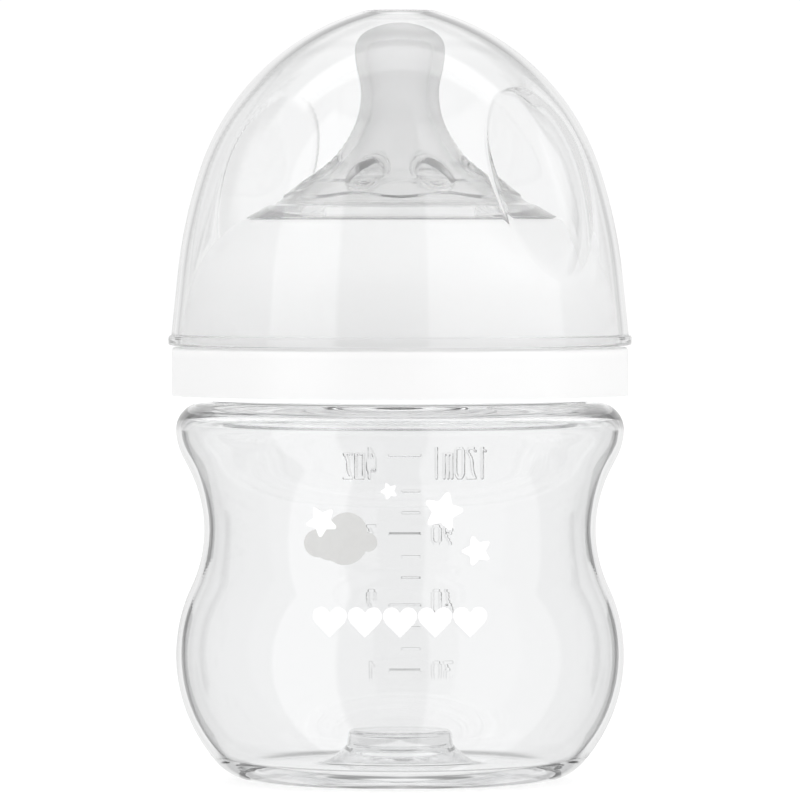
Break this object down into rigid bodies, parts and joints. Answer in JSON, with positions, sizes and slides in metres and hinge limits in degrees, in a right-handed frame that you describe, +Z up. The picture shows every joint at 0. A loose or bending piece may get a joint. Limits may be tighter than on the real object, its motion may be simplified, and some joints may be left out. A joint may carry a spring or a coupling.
{
  "type": "baby bottle",
  "caption": "Wide-neck baby feeding bottle with a waisted clear body, screw collar, soft teat and clear dome cap.",
  "frame": {"origin": "centre of the circle that the bottle stands on", "axes": "+Z up along the bottle's axis, front with the prints towards -Y"},
  "size_m": [0.069, 0.069, 0.1146],
  "materials": {
    "clear_bottle": "clear polished plastic",
    "clear_cap": "clear polished plastic",
    "white_collar": "satin white moulded plastic",
    "silicone": "milky translucent silicone",
    "white_ink": "opaque white screen print",
    "grey_ink": "opaque pale grey screen print"
  },
  "bodies": {
    "bottle": {"bottle": "clear_bottle", "print_stars": "white_ink", "print_cloud": "grey_ink", "print_hearts": "white_ink"},
    "teat": {"teat": "silicone"},
    "collar": {"collar": "white_collar"},
    "cap": {"cap": "clear_cap"}
  },
  "joints": [
    {"name": "teat_lift", "type": "slide", "parent": "bottle", "child": "teat", "axis": [0, 0, 1], "range_m": [0, 0.0148]},
    {"name": "collar_turn", "type": "hinge", "parent": "teat", "child": "collar", "pos_m": [0, 0, 0.0605], "axis": [0, 0, 1], "range_deg": [0, 1170]},
    {"name": "cap_lift", "type": "slide", "parent": "collar", "child": "cap", "axis": [0, 0, 1], "range_m": [0, 0.055]}
  ],
  "couplings": [
    {"joint": "teat_lift", "follows": "collar_turn", "m_per_rad": 0.0007162}
  ]
}
